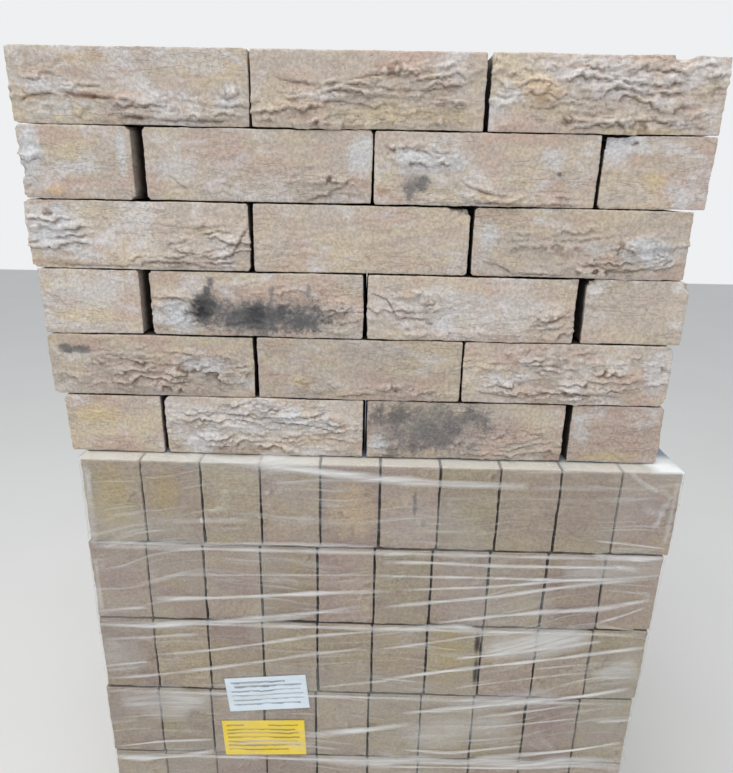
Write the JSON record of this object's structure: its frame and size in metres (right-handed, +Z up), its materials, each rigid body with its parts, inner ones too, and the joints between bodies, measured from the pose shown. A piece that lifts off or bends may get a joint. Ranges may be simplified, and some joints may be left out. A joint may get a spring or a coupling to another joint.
{
  "type": "pallet of bricks",
  "caption": "Film-wrapped pack of bricks standing on edge, with two fork voids through it and a loose panel of the same bricks laid dry on its top.",
  "frame": {"origin": "middle of the pack's base, on the ground", "axes": "+Z up, -Y towards the face with the labels and the panel, +X to that face's right"},
  "size_m": [0.6819, 1.0848, 1.2352],
  "materials": {
    "pack_brick": "matte",
    "panel_brick": "matte",
    "stretch_film": "gloss",
    "top_sheet": "satin",
    "white_label": "matte",
    "yellow_label": "matte"
  },
  "bodies": {
    "root": {"layer_1": "pack_brick", "layer_2": "pack_brick", "layer_3_left": "pack_brick", "layer_3_middle": "pack_brick", "layer_3_right": "pack_brick", "layer_4": "pack_brick", "layer_5": "pack_brick", "layer_6": "pack_brick", "layer_7": "pack_brick", "layer_8": "pack_brick", "panel_1_left_header": "panel_brick", "panel_1_left_stretcher": "panel_brick", "panel_1_right_header": "panel_brick", "panel_1_right_stretcher": "panel_brick", "panel_2_left_stretcher": "panel_brick", "panel_2_middle_stretcher": "panel_brick", "panel_2_right_stretcher": "panel_brick", "panel_3_left_header": "panel_brick", "panel_3_left_stretcher": "panel_brick", "panel_3_right_header": "panel_brick", "panel_3_right_stretcher": "panel_brick", "panel_4_left_stretcher": "panel_brick", "panel_4_middle_stretcher": "panel_brick", "panel_4_right_stretcher": "panel_brick", "panel_5_left_header": "panel_brick", "panel_5_left_stretcher": "panel_brick", "panel_5_right_header": "panel_brick", "panel_5_right_stretcher": "panel_brick", "panel_6_left_stretcher": "panel_brick", "panel_6_middle_stretcher": "panel_brick", "panel_6_right_stretcher": "panel_brick", "stretch_film": "stretch_film", "top_sheet": "top_sheet", "white_label": "white_label", "yellow_label": "yellow_label"}
  },
  "joints": []
}
